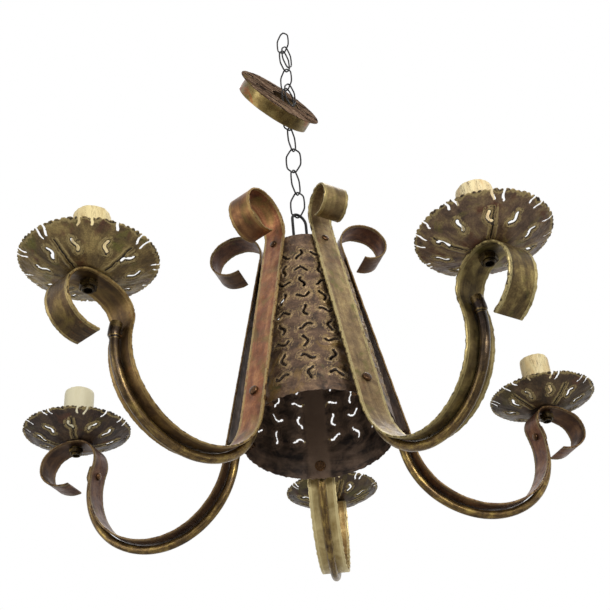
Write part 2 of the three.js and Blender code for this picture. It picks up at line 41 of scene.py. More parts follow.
# The object's sizes are in millimetres, in the CAD frame; make() scales its meshes to metres. The stage, the
# lamps and the camera are in metres.
MM = 0.001
ARMS = {
    "front_left": dict(
        azimuth=231.6, reach=5, rise=-0.5, sway=-2.5, stem=3, turn=4,
        inner=(-7, -2.5), belly=(-3, 0.5), neck=(-1, 6), crown=(6, 0),
        curl=(2.5, 0), curl_end=(-1.5, -2.5), scroll_crown=(0.5, -10), scroll_curl=(1.5, -3),
    ),
    "front_right": dict(
        azimuth=303, reach=-9.5, rise=-8.5, sway=6.5, stem=18, turn=-6.5,
        inner=(4, -0.5), outer=(2, 0.5), neck=(0.5, -6), crown=(-5.5, 0),
        curl=(7.5, 29), curl_end=(4, -1.5), scroll_crown=(-7, -7.5), scroll_curl=(-5, -11),
    ),
    "right": dict(
        azimuth=20.2, reach=1, rise=-1, sway=4, stem=11, turn=0,
        inner=(-5.5, 2.5), belly=(4.5, 1.5), outer=(2, -1), neck=(-6.5, -20),
        crown=(3, 0), curl=(-1.5, 16.5), curl_end=(-3, -1.5), scroll_crown=(-0.5, 5.5),
        scroll_curl=(0, -2.5),
    ),
    "back": dict(
        azimuth=91, reach=6, rise=-7.5, sway=-14, stem=6.9, turn=0,
        inner=(1, -0.5), belly=(-3.5, 0.5), outer=(1.5, 0.5), neck=(-3, -1.5),
        crown=(-5.5, 0),
    ),
    "left": dict(
        azimuth=164.7, reach=-5.5, rise=3.5, sway=-6, stem=4, turn=0,
        inner=(9.5, 1.5), belly=(1, 0.5), outer=(1, 0.5), neck=(0, -13.5),
        crown=(4, 0), curl=(-0.5, 5.5), curl_end=(-3, -1), scroll_crown=(1, -10.5),
        scroll_curl=(1, 2.5),
    ),
}
SHANK_BENDS = {
    "inner": (67, 44.3), "belly": (74, 66.8), "outer": (62.6, 72.2), "neck": (23, -81.5),
    "crown": (40.5, -37.5), "curl": (20.6, -113.5), "curl_end": (29.8, -58.9),
}
SCROLL_BENDS = {"scroll_crown": (27.5, -132), "scroll_curl": (20.5, -167)}
GAP = 0.3
STRAP_WIDTH, STRAP_THICKNESS = 27.5, 2.0
STRAP_FACE = STRAP_THICKNESS / 2 + GAP
BODY_TOP, BODY_HEIGHT = -338.5, 201.0
BODY_TOP_RADIUS, BODY_RIM_RADIUS, BODY_SHEET = 40.2, 71.4, 1.5
BODY_RIM = BODY_TOP - BODY_HEIGHT
BODY_SLOPE = (BODY_RIM_RADIUS - BODY_TOP_RADIUS) / BODY_HEIGHT
RIM_SLOPE = math.radians(7.6)
PLATE_UNDER = BODY_TOP - 1.5
SLOT_ROWS, SLOT_PITCH, LOWEST_SLOT = 9, 18, BODY_RIM + 29
SLOT_COLUMNS, SLOT_COLUMN_ANGLE, SLOT_SCATTER = 3, 21, 14
LEAN = math.radians(12.25)
SHANK_START = (BODY_TOP_RADIUS + STRAP_FACE / math.cos(LEAN), BODY_TOP)
RIM_PLACE = BODY_HEIGHT / math.cos(LEAN)
SHANK_LENGTH = RIM_PLACE + 10.9
TUBE_RADIUS, TUBE_WALL, COLLAR_LENGTH = 4.0, 0.9, 13.0
TUBE_BELOW_BOLT, TUBE_PAST_RIVET = 9, 9
TOP_RIVET, ARM_RIVET_SETBACK = 5.6, 7
BOLT_ABOVE_RIM, BOLT_LINE_SLOPE = 12.1, math.radians(4.9)
RIVET_SHANK, RIVET_HEAD, RIVET_HEIGHT, RIVET_TAIL = 1.9, 3.6, 2, 2.9
BOLT_SHANK, BOLT_HEAD, BOLT_HEIGHT = 2.2, 4.4, 2.8
WASHER_RADIUS, WASHER_THICKNESS, BOLT_NUT_RADIUS, BOLT_NUT_HEIGHT = 5.2, 1.2, 3.9, 3
PAN_RADIUS, PAN_DEPTH, PAN_SHEET, PAN_FLOOR, PAN_HOLE = 53.0, 17.0, 1.0, 16.0, 5.1
PAN_CUTS, PAN_CUT_PLACE, PAN_SLITS, PAN_RIDGES = 10, 33.5, 19, 4
# Two pans have a long radial tear between their ridges, 90 degrees past the first ridge
PAN_TEARS = {"front_right": 67, "left": 209}
NIPPLE_RADIUS, NIPPLE_ROOT, NIPPLE_BORE, THREAD_PITCH = 4.8, 4.45, 3.4, 1.0
NUT_FLATS, NUT_HEIGHT, NIPPLE_TAIL, NIPPLE_HEAD = 13, 5, 2, 3
HOLDER_PROFILE = [
    (5.1, 0), (11.8, 0), (12.5, 0.7), (12.5, 20), (12.1, 20.6), (12.1, 22), (12.5, 22.6), (12.5, 45),
    (11.6, 46), (7.8, 46), (7.2, 45.4), (7.2, 16), (5.1, 16),
]
SLEEVE_LENGTH, SLEEVE_RADIUS, SLEEVE_BORE = 59.0, 14.62, 13.65
LINK_YAWS = (-36, 52, -40, 44, -28, 64, -18, 60, -28)
LINK_PITCH, LINK_TOP, LINK_WIRE, LINK_SPACING = 31.5, -15.9, 0.89, 2.1
LINK_REACH, LINK_TIP = 16.8, 1.3
LINK_CORNER, LINK_SHOULDER, LINK_SIDE = (3.1, 15.2), (7.9, 8.6), (8.4, 0.0)
TOP_LINK_REACH = 16.5
SPARE_HOSTS = (1, 3)
LOOP_RADIUS, LOOP_SPRING, LOOP_FOOT, LOOP_WIRE, LOOP_YAW = 9, -291, PLATE_UNDER - 3, 1.5, 42
DISC_RADIUS, DISC_SHEET, DISC_HOLE, DISC_HOLE_SHIFT = 51, 1.5, 17, 7
BAND_RADIUS, BAND_BORE, BAND_TOP, BAND_END = 43.75, 43.2, -1.8, -17.6


def noise(x, y, scale, seed):
    """Smooth waves from about -1 to 1, a sum of sines over the plane; scale is their length."""
    total = 0
    for octave in range(5):
        angle = 2.4 * octave + 1.7 * seed
        size = 2 * math.pi / scale * (1 + 0.63 * octave)
        sway = 3.1 * seed + 2 * octave * np.sin(size * 0.37 * y + seed)
        wave = np.sin(size * (x * math.cos(angle) + y * math.sin(angle)) + sway)
        total = total + wave / (1 + 0.5 * octave)
    return total / 2.2


def bump(values, centre, width):
    """Rises from 0 to 1 at the centre and falls to 0 again."""
    return np.exp(-(((values - centre) / width) ** 2))


def polar(radius, angle, height):
    """Points at a radius and angle round the Z axis."""
    return np.stack(np.broadcast_arrays(radius * np.cos(angle), radius * np.sin(angle), height), -1)


def round_grid(around, along):
    """Angles round the Z axis and values along it, as two grids."""
    return np.meshgrid(2 * np.pi * np.arange(around) / around, along, indexing="ij")


def quads(index):
    """The four-sided faces of a grid of point numbers."""
    return np.stack([index[:-1, :-1], index[1:, :-1], index[1:, 1:], index[:-1, 1:]], -1)


def placed(points, place):
    """Points moved by a matrix."""
    return points @ np.array(place.to_3x3()).T + np.array(place.translation)


# Meshes
def make(name, verts, faces, flow, wear, inner, sharp):
    """A mesh object from arrays in millimetres, with the attributes that its material reads."""
    used, remap = np.unique(np.concatenate([np.ravel(f) for f in faces]), return_inverse=True)
    verts = np.asarray(verts, float)[used] * MM
    sizes = np.concatenate([np.full(len(f), f.shape[1]) for f in faces])
    mesh = bpy.data.meshes.new(name)
    mesh.vertices.add(len(verts))
    mesh.vertices.foreach_set("co", verts.astype(np.float32).ravel())
    mesh.loops.add(int(sizes.sum()))
    mesh.loops.foreach_set("vertex_index", remap.astype(np.int32).ravel())
    mesh.polygons.add(len(sizes))
    mesh.polygons.foreach_set("loop_start", np.concatenate([[0], np.cumsum(sizes)[:-1]]).astype(np.int32))
    mesh.update(calc_edges=True)
    mesh.validate()
    mesh.shade_smooth()
    mesh.set_sharp_from_angle(angle=math.radians(sharp))
    for label, values in (("wear", wear), ("inner", inner), ("flow", flow)):
        kind, field = ("FLOAT_VECTOR", "vector") if label == "flow" else ("FLOAT", "value")
        attribute = mesh.attributes.new(label, kind, "POINT")
        attribute.data.foreach_set(field, np.asarray(values, np.float32)[used].ravel())
    obj = bpy.data.objects.new(name, mesh)
    scene.collection.objects.link(obj)
    return obj


def sheet(name, front, back, keep, closed, flow, wear, sharp=38, place=None):
    """A sheet of metal between two grids of points; keep says which of their cells are there."""
    rows, columns = front.shape[:2]
    count = rows * columns
    index = np.arange(count).reshape(rows, columns)
    cells = quads(np.pad(index, ((0, closed), (0, 0)), "wrap"))
    before, after = np.roll(keep, 1, 0), np.roll(keep, -1, 0)
    if not closed:
        before[0] = after[-1] = False
    low, high = np.roll(keep, 1, 1), np.roll(keep, -1, 1)
    low[:, 0] = high[:, -1] = False
    faces = [cells[keep], cells[keep][:, ::-1] + count]
    for (start, end), neighbour in (((0, 1), low), ((1, 2), after), ((2, 3), high), ((3, 0), before)):
        edge = cells[keep & ~neighbour]
        faces.append(
            np.stack([edge[:, end], edge[:, start], edge[:, start] + count, edge[:, end] + count], -1)
        )
    across = np.cross(front[1:-1, 1:-1] - front[:-2, 1:-1], front[1:-1, 2:] - front[1:-1, 1:-1])
    if (across * (front - back)[1:-1, 1:-1]).sum() < 0:
        faces = [face[:, ::-1] for face in faces]
    verts = np.concatenate([front.reshape(-1, 3), back.reshape(-1, 3)])
    if place is not None:
        verts = placed(verts, place)
    flow = flow.reshape(-1, 3)
    inner = np.repeat([0.0, 1.0], count)
    return make(name, verts, faces, np.concatenate([flow, flow]), np.tile(wear.ravel(), 2), inner, sharp)


def revolve(profile, sides):
    """A turned body about Z from a closed profile of (radius, height): its points and four-sided faces."""
    profile = np.array(profile, float)
    angles = 2 * np.pi * np.arange(sides)[:, None] / sides
    verts = polar(profile[:, 0], angles, profile[:, 1])
    index = np.arange(sides * len(profile)).reshape(sides, -1)
    faces = quads(np.pad(index, ((0, 1), (0, 1)), "wrap"))
    return verts.reshape(-1, 3), faces.reshape(-1, 4)


def assemble(name, parts, place, sharp=32):
    """One object from several turned bodies, stood at a place."""
    verts, faces, count = [], [], 0
    for points, corners in parts:
        verts.append(points)
        faces.append(corners + count)
        count += len(points)
    verts = np.concatenate(verts)
    zeros = np.zeros(len(verts))
    obj = make(name, placed(verts, place), [np.concatenate(faces)], verts, zeros, zeros, sharp)
    merge = obj.modifiers.new("weld", "WELD")
    merge.merge_threshold = 1e-6
    return obj


def ring(path, radius, sides, closed):
    """Rings of points round a path, without twist; radius is one number or one for each point."""
    path = np.asarray(path, float)
    if closed:
        tangents = np.roll(path, -1, 0) - np.roll(path, 1, 0)
    else:
        tangents = np.gradient(path, axis=0)
    tangents /= np.linalg.norm(tangents, axis=1)[:, None]
    side = np.cross(tangents[0], (0.31, 0.87, 0.12))
    rings = []
    angles = 2 * np.pi * np.arange(sides) / sides
    radius = np.broadcast_to(radius, len(path))
    for point, tangent, size in zip(path, tangents, radius):
        side = side - tangent * side.dot(tangent)
        side /= np.linalg.norm(side)
        other = np.cross(tangent, side)
        rings.append(point + size * (np.outer(np.cos(angles), side) + np.outer(np.sin(angles), other)))
    return np.array(rings)


def wire_piece(name, path, radius, sides, closed, place):
    """A solid round wire along a path, closed or with flat ends, stood at a place."""
    rings = ring(path, radius, sides, closed)
    index = np.arange(len(rings) * sides).reshape(-1, sides)
    faces = [quads(np.pad(index, ((0, closed), (0, 1)), "wrap").T).reshape(-1, 4)]
    if not closed:
        faces += [index[:1, ::-1], index[-1:]]
    verts = rings.reshape(-1, 3)
    zeros = np.zeros(len(verts))
    return make(name, placed(verts, place), faces, verts, zeros, zeros, 60)


def distance_to(points, cuts, reach=12):
    """How far each point of a plane lies outside the nearest cut, a bent line with a half width."""
    flat = points.reshape(-1, 2)
    far = np.full(len(flat), 99.0)
    for line, half in cuts:
        near = np.nonzero(np.abs(flat - line.mean(0)).max(1) < reach + np.ptp(line, axis=0).max() / 2)[0]
        if not len(near):
            continue
        spots = flat[near]
        best = np.full(len(near), 99.0)
        for start, end in zip(line[:-1], line[1:]):
            step = end - start
            share = np.clip(((spots - start) @ step) / (step @ step), 0, 1)
            best = np.minimum(best, np.linalg.norm(spots - start - share[:, None] * step, axis=1))
        far[near] = np.minimum(far[near], best - half)
    return far.reshape(points.shape[:-1])


def snap(points, cuts, cell):
    """Moves the grid points nearest to the edge of a cut onto that edge, so that the edge runs smooth."""
    far = distance_to(points, cuts)
    step = 0.05
    ahead = [distance_to(points + np.array(way) * step, cuts) for way in ((1, 0), (0, 1))]
    slope = (np.stack(ahead, -1) - far[..., None]) / step
    size = np.maximum((slope**2).sum(-1), 0.2)[..., None]
    close = (np.abs(far) < cell)[..., None]
    moved = np.where(close, points - far[..., None] * slope / size, points)
    return moved, distance_to(moved, cuts)


def squiggle(centre, angle, length, bend, phase, half, count=9):
    """A wavy torch cut in the plane: its line and half width."""
    t = np.linspace(-0.5, 0.5, count)
    across = bend / 2 * np.sin(2 * np.pi * t * 0.8 + phase) - bend / 2 * math.sin(phase) * 0.5
    c, s = math.cos(angle), math.sin(angle)
    along = t * length
    line = np.stack([centre[0] + along * c - across * s, centre[1] + along * s + across * c], -1)
    return line, half


# Materials
def linear(code):
    """A colour written as six hex digits, as scene-linear red, green, blue and alpha."""
    parts = [int(code[i:i + 2], 16) / 255 for i in (0, 2, 4)]
    return tuple(p / 12.92 if p <= 0.04045 else ((p + 0.055) / 1.055) ** 2.4 for p in parts) + (1.0,)


class Tree:
    """A material's nodes, with short calls for the ones that these materials use."""

    def __init__(self, name, metallic, roughness=0.5):
        self.material = bpy.data.materials.new(name)
        self.material.use_nodes = True
        self.nodes = self.material.node_tree.nodes
        self.links = self.material.node_tree.links
        self.shader = self.nodes["Principled BSDF"]
        self.shader.inputs["Metallic"].default_value = metallic
        self.shader.inputs["Roughness"].default_value = roughness

    def add(self, kind, inputs=None, **settings):
        node = self.nodes.new(kind)
        for key, value in settings.items():
            setattr(node, key, value)
        for key, value in (inputs or {}).items():
            if isinstance(value, bpy.types.NodeSocket):
                self.links.new(value, node.inputs[key])
            else:
                node.inputs[key].default_value = value
        return node

    def attribute(self, name, output="Fac"):
        return self.add("ShaderNodeAttribute", attribute_name=name).outputs[output]

    def stretched(self, vector, scale):
        return self.add("ShaderNodeMapping", {"Vector": vector, "Scale": scale}).outputs["Vector"]

    def noise(self, vector, scale, detail=4.0, rough=0.55, distortion=0.0):
        values = zip(("Scale", "Detail", "Roughness", "Distortion"), (scale, detail, rough, distortion))
        return self.add("ShaderNodeTexNoise", {"Vector": vector, **dict(values)}).outputs["Fac"]

    def ramp(self, value, stops):
        node = self.add("ShaderNodeValToRGB", {"Fac": value})
        elements = node.color_ramp.elements
        while len(elements) < len(stops):
            elements.new(0.5)
        for element, (position, code) in zip(elements, stops):
            element.position = position
            element.color = linear(code) if isinstance(code, str) else (code, code, code, 1)
        return node.outputs["Color"]

    def mix(self, share, low, high, blend="MIX"):
        node = self.add("ShaderNodeMix", data_type="RGBA", blend_type=blend)
        for socket, value in ((node.inputs[0], share), (node.inputs[6], low), (node.inputs[7], high)):
            if isinstance(value, str):
                value = linear(value)
            if isinstance(value, bpy.types.NodeSocket):
                self.links.new(value, socket)
            else:
                socket.default_value = value
        return node.outputs[2]

    def math(self, operation, *inputs, clamp=False):
        node = self.add("ShaderNodeMath", dict(enumerate(inputs)), operation=operation, use_clamp=clamp)
        return node.outputs[0]

    def finish(self, colour, rough=None, bumps=()):
        self.links.new(colour, self.shader.inputs["Base Color"])
        if rough is not None:
            self.links.new(rough, self.shader.inputs["Roughness"])
        normal = None
        for height, strength, depth in bumps:
            inputs = {"Height": height, "Strength": strength, "Distance": depth * MM}
            if normal is not None:
                inputs["Normal"] = normal
            normal = self.add("ShaderNodeBump", inputs).outputs["Normal"]
        if normal is not None:
            self.links.new(normal, self.shader.inputs["Normal"])
        return self.material


def torched(
    name, tones, patches, edge, inside, metallic=0.75, gloss=(0.34, 0.6), streak=0.12, relief=0.35,
    back_shade_and_light_share=0.85, painted_shade_along=None, contrast=0.5,
):
    """Heat-coloured metal: streaks of its tones along the piece, patches over them and its cut edges. Its back
    faces take the inside tones as painted shade (painted light on the pale back strap, whose inside tones are
    lighter), brightened at the cut edges as painted light.
    The tones for painted shade along the piece are darker tones that it turns to along its length, painted
    shade round a strap's crown and under a pan, with the two distances between which it does."""
    tree = Tree(name, metallic)
    flow = tree.attribute("flow", "Vector")
    place = tree.add("ShaderNodeTexCoord").outputs["Object"]
    streaks = tree.noise(tree.stretched(flow, (streak * 0.16, streak, 1)), 1.0, 5.0, 0.62, 0.6)
    blotch = tree.noise(place, 75.0, 5.0, 0.65, 0.6)
    mixed = tree.math("ADD", tree.math("MULTIPLY", streaks, 0.5), tree.math("MULTIPLY", blotch, 0.5))
    stops = (0.36, 0.5, 0.63)
    colour = tree.ramp(mixed, list(zip(stops, tones)))
    # Darker tones further along the piece: painted shade
    if painted_shade_along:
        codes, near, far = painted_shade_along
        along = tree.add("ShaderNodeSeparateXYZ", {0: flow}).outputs["X"]
        share = tree.add("ShaderNodeMapRange", {"Value": along, "From Min": near, "From Max": far})
        colour = tree.mix(share.outputs["Result"], colour, tree.ramp(mixed, list(zip(stops, codes))))
    for number, (code, low, high) in enumerate(patches):
        scale, distortion = (47.0 + 13 * number, 0.5) if number else (32.0, 0.8)
        cloud = tree.noise(place, scale, 3.0, 0.6, distortion)
        colour = tree.mix(tree.ramp(cloud, [(low, 0.0), (high, 1.0)]), colour, code)
    grain = tree.noise(place, 900.0, 6.0, 0.7)
    colour = tree.mix(contrast, colour, tree.ramp(grain, [(0.32, 0.2), (0.68, 0.8)]), "OVERLAY")
    wear = tree.attribute("wear")
    rough_edge = tree.math("MULTIPLY_ADD", tree.noise(place, 420.0, 4.0, 0.6), 0.9, -0.45)
    ragged = tree.math("ADD", wear, rough_edge, clamp=True)
    light = tree.ramp(ragged, [(0.25, 0.0), (0.45, 1.0), (0.62, 1.0), (0.72, 0.0)])
    dark = tree.ramp(ragged, [(0.6, 0.0), (0.8, 1.0)])
    colour = tree.mix(tree.math("MULTIPLY", light, 0.75), colour, edge[0])
    colour = tree.mix(tree.math("MULTIPLY", dark, 0.94), colour, edge[1])
    # Back faces: the inside tones are painted shade, made lighter where the wear mask is high as painted light
    # on the edges
    back = tree.math("MULTIPLY", tree.attribute("inner"), back_shade_and_light_share)
    shade = tree.math("ADD", mixed, tree.math("MULTIPLY", wear, 0.35))
    colour = tree.mix(back, colour, tree.ramp(shade, [(0.4, inside[0]), (0.7, inside[1])]))
    rough = tree.ramp(tree.noise(place, 120.0, 4.0, 0.6), [(0.35, gloss[0]), (0.7, gloss[1])])
    return tree.finish(colour, rough, [(streaks, 0.25, 1.2), (grain, relief, 0.25)])


# The inside tones paint shade on the straps' back faces, and light on the pale back strap's; the two front
# straps turn darker from their lower sweep to their end, painted shade round the crown and curl
strap_looks = {
    "front_left": torched(
        "copper_strap", ("553522", "855437", "a8774e"),
        [("74622f", 0.54, 0.74), ("8e4526", 0.62, 0.78)], ("a8935f", "2e2318"), ("4a3620", "8a6a3a"),
        back_shade_and_light_share=0.55, painted_shade_along=(("2b2014", "503d25", "7d683f"), 215, 300),
    ),
    "front_right": torched(
        "olive_strap_near", ("57442c", "806948", "a08a5e"),
        [("704731", 0.6, 0.78), ("67622f", 0.58, 0.74)], ("b8a874", "2b2418"), ("42351f", "857446"),
        back_shade_and_light_share=0.55, painted_shade_along=(("2f2517", "5f4e2f", "948250"), 215, 300),
    ),
    "right": torched(
        "olive_strap_right", ("36211a", "5f3a25", "7f5838"),
        [("56301c", 0.56, 0.74), ("66602e", 0.66, 0.8)], ("82704a", "1d140e"), ("2f2016", "6a4f30"),
        back_shade_and_light_share=0.6,
    ),
    "left": torched(
        "olive_strap_left", ("32201a", "543829", "725138"),
        [("56321f", 0.58, 0.76), ("5f5a2c", 0.66, 0.8)], ("7a6844", "1d140e"), ("36261a", "6a5032"),
        back_shade_and_light_share=0.6,
    ),
    "back": torched(
        "pale_strap", ("5d472a", "9a7d4c", "c9b27a"),
        [("8a6a40", 0.6, 0.76)], ("d5c48f", "3a2c1a"), ("9a824e", "dccb96"), back_shade_and_light_share=0.9,
    ),
}
# The tubes' dark inside tones are painted shade in the bore, and the darker tones that three of them turn to
# towards the top end are painted shade under the pan
tube_looks = {
    name: torched(
        "brass_tube_" + name, ("33271a", "6b5430", "a38b4c"), [("2b2016", 0.6, 0.74)], ("6d5a34", "1b140f"),
        ("1a140e", "2a2016"), gloss=(0.24, 0.44), streak=0.5, relief=0.15,
        painted_shade_along=(shade_tones, 320, 420) if shade_tones else None,
    )
    for name, shade_tones in {
        "front_left": ("1b140f", "33261a", "57452a"),
        "front_right": ("150f0c", "261b15", "42332a"),
        "right": None,
        "back": ("120d0a", "1c1511", "2b211a"),
        "left": None,
    }.items()
}
# The dark inside tones are painted shade in the body's interior, lighter along the cut edges as painted light
# and lighter along the seam strip
body_look = torched(
    "body_bronze", ("33261c", "5d4736", "846a50"),
    [("86692f", 0.54, 0.72), ("4d4f2c", 0.62, 0.76), ("2a1f18", 0.56, 0.7)], ("9c835a", "17110c"),
    ("1a100c", "7d6654"), metallic=0.5, gloss=(0.36, 0.62), streak=0.1, relief=0.6, back_shade_and_light_share=0.97,
    contrast=0.65,
)
# The pans' upper faces take the inside tones, lightened at the cut edges and ridges as painted light
pan_looks = {
    arm: torched(
        "pan_bronze_" + arm, tones,
        [(moss, 0.56, 0.72), ("5a3a28", 0.58, 0.72), ("2b2018", 0.64, 0.78)], ("a39060", "1f1812"),
        (tones[0], tones[2]), metallic=0.5, gloss=(0.36, 0.6), relief=0.5, back_shade_and_light_share=0.5, contrast=0.65,
    )
    for arm, (tones, moss) in {
        "front_left": (("3d2f1e", "6d5a37", "95804f"), "66622a"),
        "front_right": (("3f3027", "65503d", "8a754f"), "7d7630"),
        "right": (("2f241a", "4a3a28", "65523a"), "5a5226"),
        "back": (("2b2118", "45372a", "5e4d36"), "5a5226"),
        "left": (("281e17", "41332a", "5a4936"), "554c24"),
    }.items()
}
# The disc's and the band's dark inside tones are painted shade on their back faces
canopy_look = torched(
    "canopy_bronze", ("2a1f17", "5f4a3a", "8f7661"),
    [("2c1b12", 0.56, 0.68), ("6b5c34", 0.62, 0.76)], ("a08870", "1c130d"), ("1c1712", "30261e"),
    metallic=0.1, gloss=(0.75, 0.9), streak=0.1, relief=0.15, contrast=0.4,
)
# The burnt disc is matt, or the bright surroundings would veil its brown at the photo's flat angle
canopy_look.node_tree.nodes["Principled BSDF"].inputs["Specular IOR Level"].default_value = 0.0
band_look = torched(
    "band_brass", ("3f3019", "6d5a31", "958352"),
    [("8d4a24", 0.54, 0.7), ("452c1f", 0.58, 0.72)], ("8a7548", "2e2016"), ("2a1f14", "4a3620"),
    gloss=(0.26, 0.46), streak=0.05, relief=0.1,
)
iron_look = torched(
    "chain_iron", ("0d0c0c", "191716", "262322"), [("332a24", 0.62, 0.78)], ("1a1716", "0a0908"),
    ("0a0908", "151312"), metallic=0.5, gloss=(0.4, 0.65), streak=0.6, relief=0.3,
)
fastener_look = torched(
    "fastener_iron", ("2c1e13", "4f3722", "735334"), [("20160f", 0.6, 0.74)], ("5d452c", "1e150e"),
    ("2a1d12", "3a2a1a"), metallic=0.85, gloss=(0.2, 0.36), streak=0.8, relief=0.3,
)
# Brass nipples and nuts, their tones darkened as painted shade for the recess under each strap's crown
shaded_fitting_look = torched(
    "brass_fitting", ("1f1810", "3d3019", "6a5829"), [("1c1510", 0.55, 0.7)], ("4a3b1e", "17110b"),
    ("17110b", "2a2010"), metallic=0.85, gloss=(0.25, 0.42), streak=0.8, relief=0.2,
)


def moulded(name, code, dark):
    """Slightly grainy plastic."""
    tree = Tree(name, 0.0, 0.45)
    place = tree.add("ShaderNodeTexCoord").outputs["Object"]
    grain = tree.noise(place, 700.0, 4.0, 0.6)
    colour = tree.mix(tree.ramp(grain, [(0.3, 0.0), (0.8, 0.5)]), code, dark)
    return tree.finish(colour, None, [(grain, 0.15, 0.1)])


def crackled(name, code, stain, line, amount, fine=1.0):
    """Cream card or resin with fine upright cracks that hold a brown stain."""
    tree = Tree(name, 0.0, 0.5)
    flow = tree.attribute("flow", "Vector")
    place = tree.add("ShaderNodeTexCoord").outputs["Object"]
    bent = tree.stretched(flow, (1.0, 0.09, 1.0))
    weave = tree.noise(bent, 0.75 * fine, 3.0, 0.6, 1.2)
    cracks = tree.ramp(weave, [(0.44, 0.0), (0.485, 1.0), (0.5, 1.0), (0.545, 0.0)])
    gaps = tree.noise(tree.stretched(flow, (1.0, 0.4, 1.0)), 0.22, 3.0, 0.6)
    cracks = tree.math("MULTIPLY", cracks, tree.ramp(gaps, [(0.42, 0.1), (0.62, 1.0)]))
    clouds = tree.noise(tree.stretched(flow, (1.0, 0.2, 1.0)), 0.16, 4.0, 0.6, 0.4)
    colour = tree.mix(tree.ramp(clouds, [(0.42, 0.0), (0.72, amount)]), code, stain)
    colour = tree.mix(tree.math("MULTIPLY", cracks, amount), colour, line)
    grain = tree.noise(place, 500.0, 4.0, 0.6)
    return tree.finish(colour, None, [(cracks, -0.5 * amount, 0.4), (grain, 0.12, 0.1)])


sleeve_looks = {
    "front_left": crackled("candle_cream_near_left", "dfcd97", "c2a468", "7d6236", 0.75, 1.3),
    "left": crackled("candle_cream_left", "d3cbab", "c0b68f", "a89868", 0.15),
    "front_right": crackled("candle_cream_near_right", "e3d2a2", "c9a772", "4a3320", 0.95),
    "right": crackled("candle_cream_right", "dccb9a", "c5a56c", "4f3822", 0.85),
    "back": crackled("candle_cream_back", "ddcda0", "c2a468", "6f5630", 0.6),
}
holder_look = moulded("holder_plastic", "d9d2c0", "b8b09a")


def dress(obj, look, body, slot, *nodes):
    """Gives a piece its material and body, and hides the CAD nodes that it stands for; slot is not used."""
    obj.data.materials.clear()
    obj.data.materials.append(look)
    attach(obj, body)
    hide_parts(*nodes)


# Straps
def walk(start, heading, stretches, step=1.5):
    """Stations along straight and round stretches: (r, z, heading, distance) in rows."""
    rows = [(start[0], start[1], heading, 0.0)]
    for length, turn in stretches:
        r, z, aim, gone = rows[-1]
        count = max(2, math.ceil(length / step))
        for share in np.arange(1, count + 1) / count:
            turned = turn * share
            chord = length * share * np.sinc(turned / 2 / np.pi)
            mean = aim + turned / 2
            here = (r + chord * math.cos(mean), z + chord * math.sin(mean))
            rows.append((*here, aim + turned, gone + length * share))
    return np.array(rows)


def bend_of(arm, name):
    """The radius and turn of a bend, with what this arm adds to the common ones."""
    radius, turn = {**SHANK_BENDS, **SCROLL_BENDS}[name]
    wider, further = arm.get(name, (0, 0))
    return radius + wider, math.radians(turn + further)


class Strap:
    """The centreline of an arm's strap in the arm's own frame, and the places of its fasteners."""

    def __init__(self, arm):
        bends = [bend_of(arm, name) for name in SHANK_BENDS]
        lengths = [radius * abs(turn) for radius, turn in bends]
        upright = SHANK_LENGTH + sum(lengths[:3])
        neck_heading = LEAN - math.pi / 2 + sum(turn for _, turn in bends[:4])
        shank = walk(
            SHANK_START, LEAN - math.pi / 2,
            [(SHANK_LENGTH, 0)] + [(length, turn) for length, (_, turn) in zip(lengths, bends)],
        )
        rolls = [(radius * abs(turn), turn) for radius, turn in (bend_of(arm, name) for name in SCROLL_BENDS)]
        scroll = walk(SHANK_START, LEAN + math.pi / 2, [(arm["stem"], 0)] + rolls)[1:][::-1]
        out = scroll[:, 0] - SHANK_START[0]
        turn = math.radians(arm["turn"])
        scroll[:, 0] = SHANK_START[0] + out * math.cos(turn)
        side = np.concatenate([out * math.sin(turn), np.zeros(len(shank))])
        scroll[:, 2] -= math.pi
        scroll[:, 3] *= -1
        rows = np.concatenate([scroll, shank])
        self.distance = rows[:, 3]
        share = np.clip((self.distance - SHANK_LENGTH) / (upright - SHANK_LENGTH), 0, 1)
        share = share * share * (3 - 2 * share)
        shift = np.outer(share, [arm["reach"], arm["sway"], arm["rise"]])
        self.points = np.stack([rows[:, 0], side, rows[:, 1]], -1) + shift
        self.left = np.stack([-np.sin(rows[:, 2]), np.zeros(len(rows)), np.cos(rows[:, 2])], -1)
        self.turn = Matrix.Rotation(math.radians(arm["azimuth"]), 4, "Z")
        near = BODY_RIM_RADIUS * math.sin(math.radians(arm["azimuth"])) * math.tan(BOLT_LINE_SLOPE)
        self.bolt = RIM_PLACE - BOLT_ABOVE_RIM + near
        self.arm_rivet = upright - ARM_RIVET_SETBACK
        self.nipple = upright + lengths[3] + bends[4][0] * neck_heading

    def at(self, distance):
        """Points of the centreline at distances from the body's top, and the ways that its outer face looks."""
        return [
            np.stack([np.interp(distance, self.distance, rows[:, k]) for k in range(3)], -1)
            for rows in (self.points, self.left)
        ]

    def stand(self, distance):
        """The matrix of a piece built along +Z that stands on the strap there."""
        point, left = self.at(distance)
        turn = Vector((0, 0, 1)).rotation_difference(Vector(left).normalized()).to_matrix().to_4x4()
        return self.turn @ Matrix.Translation(point) @ turn


straps = {name: Strap(arm) for name, arm in ARMS.items()}


